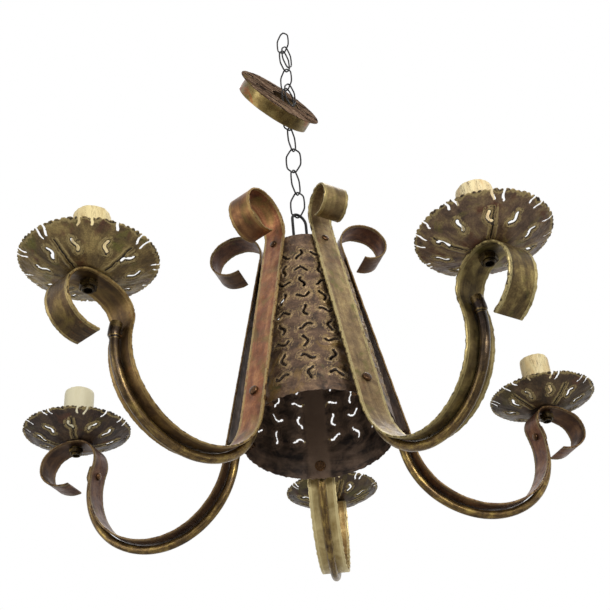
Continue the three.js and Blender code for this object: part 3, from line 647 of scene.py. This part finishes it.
def strap_piece(name, strap, seed):
    side = [0.2, 0.55, 0.73, 0.78, 0.83, 0.9, 0.965, 1]
    across = np.array([-x for x in side[::-1]] + side)
    tangents = np.gradient(strap.points, axis=0)
    tangents /= np.linalg.norm(tangents, axis=1)[:, None]
    normals = -np.cross(tangents, (0.0, -1.0, 0.0))
    normals /= np.linalg.norm(normals, axis=1)[:, None]
    along = strap.distance[:, None] + 0 * across
    wide = STRAP_WIDTH / 2 * across + 0 * along
    edge = np.abs(across) + 0 * along
    edge_line = np.sign(wide) * 40
    ragged = 0.4 * noise(along, edge_line, 9, seed) + 0.18 * noise(along, edge_line, 2.6, seed + 3)
    wide = wide - np.sign(wide) * np.where(edge > 0.85, 0.35 + ragged * (edge - 0.85) / 0.15, 0)
    bead = 0.32 * bump(edge, 0.93, 0.05) * (1 + 0.6 * noise(along, wide, 5, seed + 1))
    swell = 0.25 * noise(along, wide, 46, seed + 5) * (1 - edge**4)
    thick = STRAP_THICKNESS / 2 - 0.25 * (edge > 0.99) - 0.05
    centre = strap.points[:, None, :] + wide[..., None] * np.array([0, 1, 0])
    front = centre + (thick + bead * 0.6 + swell * 0.2 - 0.1)[..., None] * normals[:, None, :]
    back = centre - (thick + bead * 0.5 - swell * 0.2 - 0.1)[..., None] * normals[:, None, :]
    keep = np.ones((len(along) - 1, len(across) - 1), bool)
    wear = np.interp(edge, [0.55, 0.73, 0.78, 0.83, 0.9, 0.965, 1], [0, 0.12, 0.68, 0.45, 0.47, 0.58, 0.7])
    wear *= 0.88 + 0.25 * noise(along, wide * 0.2, 21, seed + 9)
    flow = np.stack([along, wide, 0 * along + seed * 40], -1)
    return sheet("strap_" + name, front, back, keep, False, flow, wear, place=strap.turn)


def tube_piece(name, strap, seed):
    sides = 20
    start = strap.bolt + BOLT_SHANK + TUBE_BELOW_BOLT
    end = strap.arm_rivet + TUBE_PAST_RIVET
    places = np.append(np.arange(start, end, 2.0), end)
    points, left = strap.at(places)
    collar = np.clip((places - (end - COLLAR_LENGTH)) / 1.6, 0, 1)
    radius = TUBE_RADIUS + collar
    path = points - left * (STRAP_FACE + radius)[:, None]
    dents = 0.06 * noise(places, places * 0, 30, seed)
    outer = ring(path, radius - 0.13 + dents, sides, False).swapaxes(0, 1)
    bore = ring(path, radius - collar - TUBE_WALL, sides, False).swapaxes(0, 1)
    along = np.tile(places, (sides, 1))
    around = np.linspace(0, 2 * math.pi * TUBE_RADIUS, sides)[:, None] + 0 * along
    lip = bump(along, end - COLLAR_LENGTH, 1.2)
    past = np.clip((along - end + TUBE_PAST_RIVET) / 6, 0, 1)
    wear = np.clip(lip + past * 0.6 + 0.8 * np.exp(-(along - start) / 3), 0, 1)
    keep = np.ones((sides, len(places) - 1), bool)
    flow = np.stack([along, around, 0 * along + seed * 30], -1)
    return sheet("tube_" + name, outer, bore, keep, True, flow, wear, place=strap.turn)


def dome(radius, height, seat, count=7):
    """The profile of a domed head that stands on a seat, closed through the axis."""
    angles = np.linspace(0, math.pi / 2, count)
    rim = 0.3 * height
    arc = [(radius * math.cos(a), seat + rim + (height - rim) * math.sin(a)) for a in angles]
    return [(0.001, seat), (radius, seat)] + arc[:-1] + [(0.001, seat + height)]


def rod(radius, low, high):
    """The profile of a plain shank."""
    return [(0.001, low), (radius, low), (radius, high), (0.001, high)]


def chamfered(radius, low, high, cut, bore=0.001):
    """The profile of a nut, washer or rivet tail with its two edges cut off."""
    return [
        (bore, low), (radius - cut, low), (radius, low + cut), (radius, high - cut), (radius - cut, high),
        (bore, high),
    ]


def fasten(name, parts, place):
    dress(assemble(name, parts, place), fastener_look, "fixture", "fastener_iron", name)


def rivet_pieces(name, strap):
    head = revolve(dome(RIVET_HEAD, RIVET_HEIGHT, STRAP_FACE), 24)
    spread = TOP_RIVET * math.tan(LEAN - math.atan(BODY_SLOPE))
    inside = -STRAP_THICKNESS / 2 - spread - BODY_SHEET - 4 * GAP
    fasten(
        "top_rivet_" + name,
        [revolve(rod(RIVET_SHANK, inside - 0.4, STRAP_FACE + 0.4), 16), head,
         revolve(chamfered(RIVET_TAIL, inside - 1.2, inside, 0.4), 20)],
        strap.stand(TOP_RIVET),
    )
    under = -STRAP_FACE - 1 - TUBE_WALL
    fasten(
        "arm_rivet_" + name,
        [revolve(rod(RIVET_SHANK, under - 1.6, STRAP_FACE + 0.4), 16), head],
        strap.stand(strap.arm_rivet),
    )


def bolt_piece(name, strap):
    point, _ = strap.at(strap.bolt)
    # The CAD body has 20 flat sides, so its wall lies a little inside the round cone
    wall_radius = (BODY_TOP_RADIUS + (BODY_TOP - point[2]) * BODY_SLOPE) * math.cos(math.pi / 20) - BODY_SHEET
    wall = (point[0] - wall_radius) * math.cos(LEAN)
    washer = -wall - 3 * GAP
    nut = washer - WASHER_THICKNESS
    fasten(
        "body_bolt_" + name,
        [revolve(rod(BOLT_SHANK, nut - BOLT_NUT_HEIGHT - 2, STRAP_FACE + 0.4), 16),
         revolve(dome(BOLT_HEAD, BOLT_HEIGHT, STRAP_FACE, 9), 28),
         revolve(chamfered(WASHER_RADIUS, nut, washer, 0.25), 28),
         revolve(chamfered(BOLT_NUT_RADIUS, nut - BOLT_NUT_HEIGHT, nut + 0.4, 0.35), 6)],
        strap.stand(strap.bolt),
    )


def scorched(far, wobble):
    """The wear round a torch cut, by the distance from it: burnt edge, bright bead and a burnt line past it."""
    edge = bump(np.clip(far, 0, 9), 0, 0.6)
    bead = 0.5 * bump(far - 0.3 * wobble, 1.5, 0.8)
    line = 0.85 * bump(far - 0.3 * wobble, 2.8, 0.5) * np.clip(0.7 + wobble, 0, 1)
    return np.maximum(edge, np.maximum(bead, line))


# Drip pans
def pan_piece(name, place, seed):
    around, rows = 360, 52
    a, r = [grid.T for grid in round_grid(around, np.linspace(PAN_HOLE, PAN_RADIUS, rows))]
    plane = polar(r, a, 0)[..., :2]
    cuts = []
    for number in range(PAN_CUTS):
        angle = 2 * math.pi * number / PAN_CUTS
        tilt = 0.35 * math.sin(2.3 * number + seed)
        centre = polar(PAN_CUT_PLACE, angle, 0)
        cuts.append(squiggle(centre, angle + tilt, 8.2, 2.8, 1.7 * number + seed, 1.2))
    first_ridge = 10
    if name in PAN_TEARS:
        first_ridge = PAN_TEARS[name]
        tear = math.radians(first_ridge + 90)
        cuts.append(squiggle(polar(31, tear, 0), tear, 21, 1.2, 0.8, 1.0))
    for number in range(PAN_SLITS):
        angle = 2 * math.pi * (number + 0.35 * math.sin(3.7 * number + seed)) / PAN_SLITS
        length = 8 + 1.6 * math.sin(5.1 * number + 2 * seed)
        centre = polar(PAN_RADIUS + 1 - length / 2, angle, 0)
        cuts.append(squiggle(centre, angle + 0.2 * math.sin(number), length, 1.6, number, 1.0, 5))
    teeth = 1.3 * np.abs(np.sin(a * 36 + 1.5 * np.sin(3 * a + seed))) ** 0.7
    teeth += 0.5 * noise(a * 40, a * 0, 9, seed)
    plane *= (1 - np.clip((r - 47) / 6, 0, 1) * np.clip(1.6 - teeth, 0.3, 1.9) / PAN_RADIUS)[..., None]
    plane, far = snap(plane, cuts, 0.5)
    r = np.linalg.norm(plane, axis=-1)
    share = np.clip((r - PAN_FLOOR) / (PAN_RADIUS - PAN_FLOOR), 0, 1)
    height = (PAN_DEPTH - PAN_SHEET) * share**1.25
    x, y = plane[..., 0], plane[..., 1]
    inner_cuts = distance_to(plane, cuts[:PAN_CUTS], 16)
    wobble = 0.6 * noise(x, y, 6, seed)
    bead = 0.85 * bump(inner_cuts - 0.3 * wobble, 1.5, 0.8)
    bead += 0.35 * bump(inner_cuts - wobble, 4.2, 0.8)
    ridge = 0
    for number in range(PAN_RIDGES):
        aim = math.radians(first_ridge + 90 * number) + 0.08 * math.sin(2 * (number - 1)) * (number - 1)
        along = x * math.cos(aim) + y * math.sin(aim)
        off = -x * math.sin(aim) + y * math.cos(aim)
        off = off + 0.5 * noise(along, off * 0, 9, seed + number)
        reach = np.clip((along - 13) / 4, 0, 1) * np.clip((44 - along) / 4, 0, 1)
        banks = np.exp(-((off - 2.6) ** 2) / 1.1) + np.exp(-((off + 2.6) ** 2) / 1.1)
        ridge = ridge + reach * (banks - 0.9 * np.exp(-(off**2) / 1.6))
    rim = np.clip((r - 44) / 7, 0, 1)
    scar = rim * 0.35 * noise(x, y, 3.2, seed + 2)
    dent = 0.5 * share * noise(x, y, 38, seed + 4)
    relief = np.clip(bead, 0, 0.8) * (far > 0) + 0.75 * ridge + scar
    top = height + PAN_SHEET + np.clip(dent - 0.6 * relief, -0.6, 0.0)
    under = height - np.clip(relief, -0.5, 0.9) * np.clip(share * 8, 0, 1) + np.clip(dent, -0.3, 0.3)
    under = np.minimum(under, top - 0.35)
    upper = np.concatenate([plane, top[..., None]], -1)
    lower = np.concatenate([plane, np.maximum(under, -0.02)[..., None]], -1)
    upper, lower = upper.swapaxes(0, 1), lower.swapaxes(0, 1)
    cell = (far[:-1] + far[1:]) / 2
    cell = (cell + np.roll(cell, -1, 1)) / 2
    keep = (cell > 0).T
    smudge = noise(x, y, 15, seed + 6)
    wear = np.clip((r - 48.5 + 1.5 * smudge) / 4, 0, 1) * 0.75
    wear = np.maximum(wear, scorched(inner_cuts, wobble))
    wear = np.maximum(wear, np.clip(0.7 * ridge, 0, 0.5))
    wear = np.maximum(wear, np.clip(-ridge * 1.2, 0, 0.85))
    flow = np.stack([r * 2, a * PAN_CUT_PLACE, 0 * r + seed * 30], -1).swapaxes(0, 1)
    return sheet("drip_pan_" + name, lower, upper, keep, True, flow, wear.T, place=place)


def holder_pieces(name, strap, seed):
    point, _ = strap.at(strap.nipple)
    base = strap.turn @ Matrix.Translation(point)
    crown_radius = min(bend_of(ARMS[name], "neck")[0], bend_of(ARMS[name], "crown")[0])
    inside = crown_radius - STRAP_THICKNESS / 2
    half = NUT_FLATS / 2 / math.cos(math.pi / 6)
    nut_top = -STRAP_THICKNESS / 2 - (inside - math.sqrt(inside**2 - half**2)) - GAP
    socket = STRAP_FACE + PAN_SHEET + GAP
    low, high = nut_top - NUT_HEIGHT - NIPPLE_TAIL, socket + NIPPLE_HEAD
    thread = []
    for number in range(int((high - low) / THREAD_PITCH)):
        root, crest = low + number * THREAD_PITCH, low + (number + 0.5) * THREAD_PITCH
        thread += [(NIPPLE_ROOT, root), (NIPPLE_RADIUS, crest)]
    nipple = assemble(
        "nipple_" + name,
        [revolve([(NIPPLE_BORE, low)] + thread + [(NIPPLE_ROOT, high), (NIPPLE_BORE, high)], 24),
         revolve(chamfered(half, nut_top - NUT_HEIGHT, nut_top, 0.7, 3.6), 6)],
        base, 28,
    )
    dress(nipple, shaded_fitting_look, "fixture", "brass_fitting", "nipple_" + name)
    pan = pan_piece(name, base @ Matrix.Translation((0, 0, STRAP_FACE)), seed)
    dress(pan, pan_looks[name], "fixture", "pan_bronze", "drip_pan_" + name)
    stand = base @ Matrix.Translation((0, 0, socket))
    holder = assemble("lampholder_" + name, [revolve(HOLDER_PROFILE, 40)], stand)
    dress(holder, holder_look, "fixture", "holder_plastic", "lampholder_" + name)
    sleeve_piece(name, stand, seed)


def sleeve_piece(name, stand, seed):
    around, rows = 64, 28
    a, z = round_grid(around, np.linspace(0, 1, rows))
    top = SLEEVE_LENGTH - 0.6 + 0.45 * noise(a * 9, 0 * a, 9, seed)
    z = z * top
    drip = 0.22 * noise(a * 15, z * 0.2, 7, seed + 1)
    outer = SLEEVE_RADIUS + np.clip(drip, -0.3, 0.2) - 0.5 * np.exp(-(top - z) / 0.7)
    front, back = polar(outer, a, z), polar(SLEEVE_BORE, a, z)
    keep = np.ones((around, rows - 1), bool)
    flow = np.stack([a * 14.85, z, 0 * a + 11 * seed], -1)
    sleeve = sheet("candle_sleeve_" + name, front, back, keep, True, flow, 0 * a, place=stand)
    dress(sleeve, sleeve_looks[name], "sleeve_" + name, "candle_cream", "candle_sleeve_" + name)


strap_slots = {"front_left": "copper_strap", "back": "pale_strap"}
for seed, (name, strap) in enumerate(straps.items(), 1):
    piece = strap_piece(name, strap, seed)
    dress(piece, strap_looks[name], "fixture", strap_slots.get(name, "olive_strap"), "strap_" + name)
    dress(tube_piece(name, strap, seed), tube_looks[name], "fixture", "brass_tube", "tube_" + name)
    rivet_pieces(name, strap)
    bolt_piece(name, strap)
    holder_pieces(name, strap, seed)


# Pierced body
def body_piece():
    around, rows = 432, 190
    mean = (BODY_TOP_RADIUS + BODY_RIM_RADIUS) / 2
    a, share = round_grid(around, np.linspace(0, 1, rows))
    azimuth = a[:, 0]
    ragged = 0.5 * noise(azimuth * 60, azimuth * 0, 8, 2) + 0.35 * noise(azimuth * 60, azimuth * 0, 2.7, 5)
    slant = math.tan(RIM_SLOPE) * np.sin(azimuth)
    rim_low = BODY_RIM - slant * BODY_RIM_RADIUS / (1 - slant * BODY_SLOPE) + 0.5 + ragged
    z = BODY_TOP + (rim_low[:, None] - BODY_TOP) * share
    cuts = []
    azimuths = [arm["azimuth"] for arm in ARMS.values()]
    for sector in range(5):
        start = azimuths[sector]
        middle = start + ((azimuths[(sector + 1) % 5] - start) % 360) / 2
        for column in range(SLOT_COLUMNS):
            for row in range(SLOT_ROWS):
                height = LOWEST_SLOT + row * SLOT_PITCH
                radius = BODY_TOP_RADIUS + (BODY_TOP - height) * BODY_SLOPE
                angle = math.radians(middle + (column - 1) * SLOT_COLUMN_ANGLE)
                upright = (row + column) % 2 == 1
                scatter = SLOT_SCATTER * math.sin(7 * row + 5 * column + 3 * sector)
                tilt = math.radians((90 if upright else 0) + scatter)
                phase = 1.9 * row + 1.1 * column + 0.7 * sector
                cuts.append((angle, height, radius, squiggle((0, 0), tilt, 11.5, 4.2, phase, 1.0)))
    near = np.full(a.shape, 99.0)
    for angle, height, radius, cut in cuts:
        off = (a - angle + math.pi) % (2 * math.pi) - math.pi
        spot = (np.abs(off * radius) < 14) & (np.abs(z - height) < 14)
        local = np.stack([off[spot] * radius, z[spot] - height], -1)
        moved, _ = snap(local, [cut], 0.5)
        a[spot] = angle + moved[:, 0] / radius
        z[spot] = height + moved[:, 1]
        near[spot] = np.minimum(near[spot], distance_to(moved, [cut], 20))
    flat_x = a * mean
    wobble = noise(flat_x, z, 7, 3)
    relief = 1.1 * bump(near - 0.3 * wobble, 1.5, 0.8)
    relief += 0.6 * bump(near - 0.9 * wobble, 4.4, 0.7) * (0.6 + 0.6 * noise(flat_x, z, 16, 8))
    relief += 0.22 * noise(flat_x, z, 9, 6) + 0.12 * noise(flat_x, z, 3.1, 4)
    relief -= 0.5 * np.clip(1 - (z - rim_low[:, None]) / 5, 0, 1)
    relief = np.clip(relief, -0.4, 1.2)
    radius = BODY_TOP_RADIUS + (BODY_TOP - z) * BODY_SLOPE
    seam = np.exp(-(((a - math.radians(92)) * radius / 11) ** 8))
    outer = radius - 0.55 + relief * 0.9
    bore = radius - BODY_SHEET + 0.1 * noise(flat_x, z, 20, 9) - 0.9 * seam
    front, back = polar(outer, a, z), polar(bore, a, z)
    corner = (near[:, :-1] + near[:, 1:]) / 2
    keep = (corner + np.roll(corner, -1, 0)) / 2 > 0
    wear = scorched(near, wobble)
    wear = np.maximum(wear, 0.45 * bump(near - 0.9 * wobble, 4.4, 0.6))
    wear = np.maximum(wear, 0.5 * np.clip(noise(flat_x, z, 22, 12) - 0.5, 0, 1))
    wear = np.maximum(wear, 0.7 * seam)
    flow = np.stack([flat_x, z, (z - BODY_RIM) / BODY_HEIGHT], -1)
    return sheet("body_shell", front, back, keep, True, flow, wear, 50)


dress(body_piece(), body_look, "fixture", "body_bronze", "body_cone")
plate_radius = BODY_TOP_RADIUS - 0.9
plate_profile = [
    (0.001, PLATE_UNDER), (plate_radius - 0.5, PLATE_UNDER), (plate_radius, PLATE_UNDER + 0.4),
    (plate_radius, BODY_TOP - 0.6), (plate_radius - 1.1, BODY_TOP), (0.001, BODY_TOP),
]
plate = assemble("body_top_plate", [revolve(plate_profile, 72)], Matrix.Identity(4))
dress(plate, body_look, "fixture", "body_bronze")


# Chain and hanging loop
def link_path(top=LINK_REACH):
    """The closed centreline of a link in the XZ plane, with rounded corners, cut off level at the top."""
    quarter = [(LINK_TIP, LINK_REACH), LINK_CORNER, LINK_SHOULDER, LINK_SIDE]
    right = quarter + [(x, -z) for x, z in quarter[-2::-1]]
    points = np.array(right + [(-x, -z) for x, z in right])
    for _ in range(3):
        ahead = np.roll(points, -1, 0)
        points = np.stack([0.82 * points + 0.18 * ahead, 0.18 * points + 0.82 * ahead], 1).reshape(-1, 2)
    return np.stack([points[:, 0], 0 * points[:, 0], np.minimum(points[:, 1], top)], -1)


def yawed(degrees, z=0.0):
    """The matrix of a piece turned about the Z axis, at a height."""
    return Matrix.Translation((0, 0, z)) @ Matrix.Rotation(math.radians(degrees), 4, "Z")


# A spare link hangs on the lower slanting side of its host
along_x, along_z = LINK_SHOULDER[0] - LINK_CORNER[0], LINK_CORNER[1] - LINK_SHOULDER[1]
slant = Vector((along_x, along_z)).normalized()
spare_place = Matrix.Translation((
    (LINK_CORNER[0] + LINK_SHOULDER[0]) / 2 - LINK_SPACING * slant.y,
    0,
    -(LINK_CORNER[1] + LINK_SHOULDER[1]) / 2 + LINK_SPACING * slant.x - LINK_REACH,
)) @ Matrix.Rotation(math.pi / 2, 4, "Z")
for number, yaw in enumerate(LINK_YAWS, 1):
    place = yawed(yaw, LINK_TOP - (number - 1) * LINK_PITCH)
    body = f"link_{number}" if number > 1 else "top_link"
    outline = link_path() if number > 1 else link_path(TOP_LINK_REACH)
    link = wire_piece(f"chain_link_{number}", outline, LINK_WIRE, 12, True, place)
    dress(link, iron_look, body, "chain_iron", f"chain_link_{number}")
for spare, host in enumerate(SPARE_HOSTS, 1):
    place = yawed(LINK_YAWS[host - 1], LINK_TOP - (host - 1) * LINK_PITCH) @ spare_place
    link = wire_piece(f"spare_link_{spare}", link_path(), LINK_WIRE, 12, True, place)
    dress(link, iron_look, f"spare_{spare}", "chain_iron", f"spare_link_{spare}")

legs = np.linspace(LOOP_FOOT, LOOP_SPRING - 1, 12)
turns = np.linspace(0, math.pi, 25)
arch = [(LOOP_RADIUS * math.cos(t), 0, LOOP_SPRING + LOOP_RADIUS * math.sin(t)) for t in turns]
loop_points = [(LOOP_RADIUS, 0, z) for z in legs] + arch + [(-LOOP_RADIUS, 0, z) for z in legs[::-1]]
loop = wire_piece("hanging_loop", loop_points, LOOP_WIRE, 14, False, yawed(LOOP_YAW))
dress(loop, iron_look, "fixture", "chain_iron", "hanging_loop")

# Ceiling canopy
normal = Vector((0.61, -0.681, 0.406)).normalized()
uphill = (Vector((0, 0, 1)) - normal * normal.z).normalized()
sideways = uphill.cross(normal)
# The fourth link passes through the hole, which is off the disc's middle
centre = Vector((0, 0, LINK_TOP - 3 * LINK_PITCH)) - sideways * (DISC_HOLE_SHIFT + 5) - uphill * 5
canopy = Matrix.Translation(centre) @ Matrix((sideways, uphill, normal)).transposed().to_4x4()


def disc_piece():
    around, rows = 280, 60
    a, r = round_grid(around, np.linspace(0.5, DISC_RADIUS, rows))
    plane = polar(r, a, 0)[..., :2]
    ragged = 0.25 + 0.22 * noise(a * 50, 0 * a, 6, 2)
    plane *= (1 - np.clip((r - 45) / 6, 0, 1) * ragged / DISC_RADIUS)[..., None]
    hole = np.array([DISC_HOLE_SHIFT, 0.0])
    off = plane - hole
    far = np.linalg.norm(off, axis=-1)
    edge = DISC_HOLE + 0.3 * noise(np.arctan2(off[..., 1], off[..., 0]) * DISC_HOLE, 0 * r, 6, 1)
    close = np.abs(far - edge) < 0.5
    plane[close] = (hole + off * (edge / np.maximum(far, 0.1))[..., None])[close]
    far = np.linalg.norm(plane - hole, axis=-1) - edge
    x, y = plane[..., 0], plane[..., 1]
    strokes = noise(x * 0.35 + y * 0.9, x * 0.12 - y * 0.04, 13, 5) * np.clip(noise(x, y, 34, 3) + 0.7, 0, 1)
    relief = 0.45 * strokes + 0.35 * noise(x, y, 19, 9)
    rim = np.clip((np.hypot(x, y) - 47) / 4, 0, 1)
    top = np.clip(-0.6 + relief * 0.5, -1.0, 0.0) - 0.3 * rim
    front = np.stack([x, y, top], -1)
    back = np.stack([x, y, 0 * x - DISC_SHEET], -1)
    keep = (far[:, :-1] + far[:, 1:]) / 2 > 0.05
    wear = np.clip(np.clip(-3.4 * strokes, 0, 0.9) + 0.9 * np.exp(-np.clip(far, 0, 9) / 1.2), 0, 1)
    flow = np.stack([x * 0.9 - y * 0.4, x * 0.4 + y * 0.9, 0 * x + 3], -1)
    return sheet("canopy_disc", front, back, keep, True, flow, wear, place=canopy)


def band_piece():
    around, rows = 160, 14
    a, z = round_grid(around, np.linspace(BAND_TOP, BAND_END, rows))
    outer = BAND_RADIUS + np.clip(0.25 * noise(a * 44, z, 40, 4), -0.2, 0.25)
    front, back = polar(outer, a, z), polar(BAND_BORE, a, z)
    keep = np.ones((around, rows - 1), bool)
    edge = np.exp(-(z - BAND_END) / 0.6)
    flow = np.stack([a * 44, z, 0 * a + 5], -1)
    return sheet("canopy_band", front, back, keep, True, flow, edge * 0.8, place=canopy)


dress(disc_piece(), canopy_look, "canopy", "canopy_bronze", "canopy_disc")
dress(band_piece(), band_look, "canopy", "band_brass", "canopy_band")

# Stage, light and camera
FLOOR_HEIGHT, FLOOR_SIZE = -2.0, 12
floor_look = bpy.data.materials.new("floor")
floor_look.use_nodes = True
floor_shader = floor_look.node_tree.nodes["Principled BSDF"]
floor_shader.inputs["Base Color"].default_value = (0.86, 0.86, 0.86, 1)
floor_shader.inputs["Roughness"].default_value = 0.9
bpy.ops.mesh.primitive_plane_add(size=FLOOR_SIZE, location=(0, 0, FLOOR_HEIGHT))
floor = bpy.context.object
floor.name = "floor"
floor.data.materials.append(floor_look)

# The world shows white to the camera and in gloss, and lights the object less than that
world = bpy.data.worlds.new("studio")
scene.world = world
world.use_nodes = True
nodes, links = world.node_tree.nodes, world.node_tree.links


def either(first, second):
    node = nodes.new("ShaderNodeMath")
    node.operation = "MAXIMUM"
    links.new(first, node.inputs[0])
    links.new(second, node.inputs[1])
    return node.outputs[0]


rays = nodes.new("ShaderNodeLightPath").outputs
shown = either(either(rays["Is Camera Ray"], rays["Is Glossy Ray"]), rays["Is Transmission Ray"])
level = nodes.new("ShaderNodeMapRange")
level.inputs["To Min"].default_value = 0.4
level.inputs["To Max"].default_value = 1.0
links.new(shown, level.inputs["Value"])
nodes["Background"].inputs["Color"].default_value = (1, 1, 1, 1)
links.new(level.outputs["Result"], nodes["Background"].inputs["Strength"])


def lamp(name, place, aim, size, power):
    data = bpy.data.lights.new(name, "AREA")
    data.shape = "RECTANGLE"
    data.size, data.size_y = size
    data.energy = power
    obj = bpy.data.objects.new(name, data)
    obj.location = place
    obj.rotation_euler = (Vector(aim) - Vector(place)).to_track_quat("-Z", "Y").to_euler()
    scene.collection.objects.link(obj)


lamp("key", (0.8, -1.6, -0.3), (0, 0, -0.4), (0.7, 0.7), 24)
lamp("fill", (-1.6, -1.0, -0.6), (0, 0, -0.4), (1.2, 1.2), 10)
lamp("top", (0.2, 0.8, 1.2), (0, 0, -0.3), (1.2, 1.2), 14)

# The photograph's camera, in pixels: focal length, picture size and the pixel that the lens points at
FOCAL, PICTURE = 954.0, 610.0
CENTRE_X, CENTRE_Y = 320.0, 339.9
SENSOR = 36
camera_data = bpy.data.cameras.new("camera")
camera_data.sensor_width = SENSOR
camera_data.lens = FOCAL * SENSOR / PICTURE
camera_data.shift_x = (PICTURE / 2 - CENTRE_X) / PICTURE
camera_data.shift_y = (CENTRE_Y - PICTURE / 2) / PICTURE
camera_data.clip_start, camera_data.clip_end = 0.05, 50
camera = bpy.data.objects.new("camera", camera_data)
aim = (
    Matrix.Rotation(math.radians(-0.71), 3, "Z")
    @ Matrix.Rotation(math.radians(32.27), 3, "X")
    @ Matrix.Rotation(math.radians(5.63), 3, "Y")
)
axes = Matrix((aim.col[0], aim.col[2], -aim.col[1])).transposed()
camera.matrix_world = Matrix.Translation((0, -0.7715, -0.9245)) @ axes.to_4x4()
scene.collection.objects.link(camera)
scene.camera = camera
scene.view_settings.view_transform = "Standard"
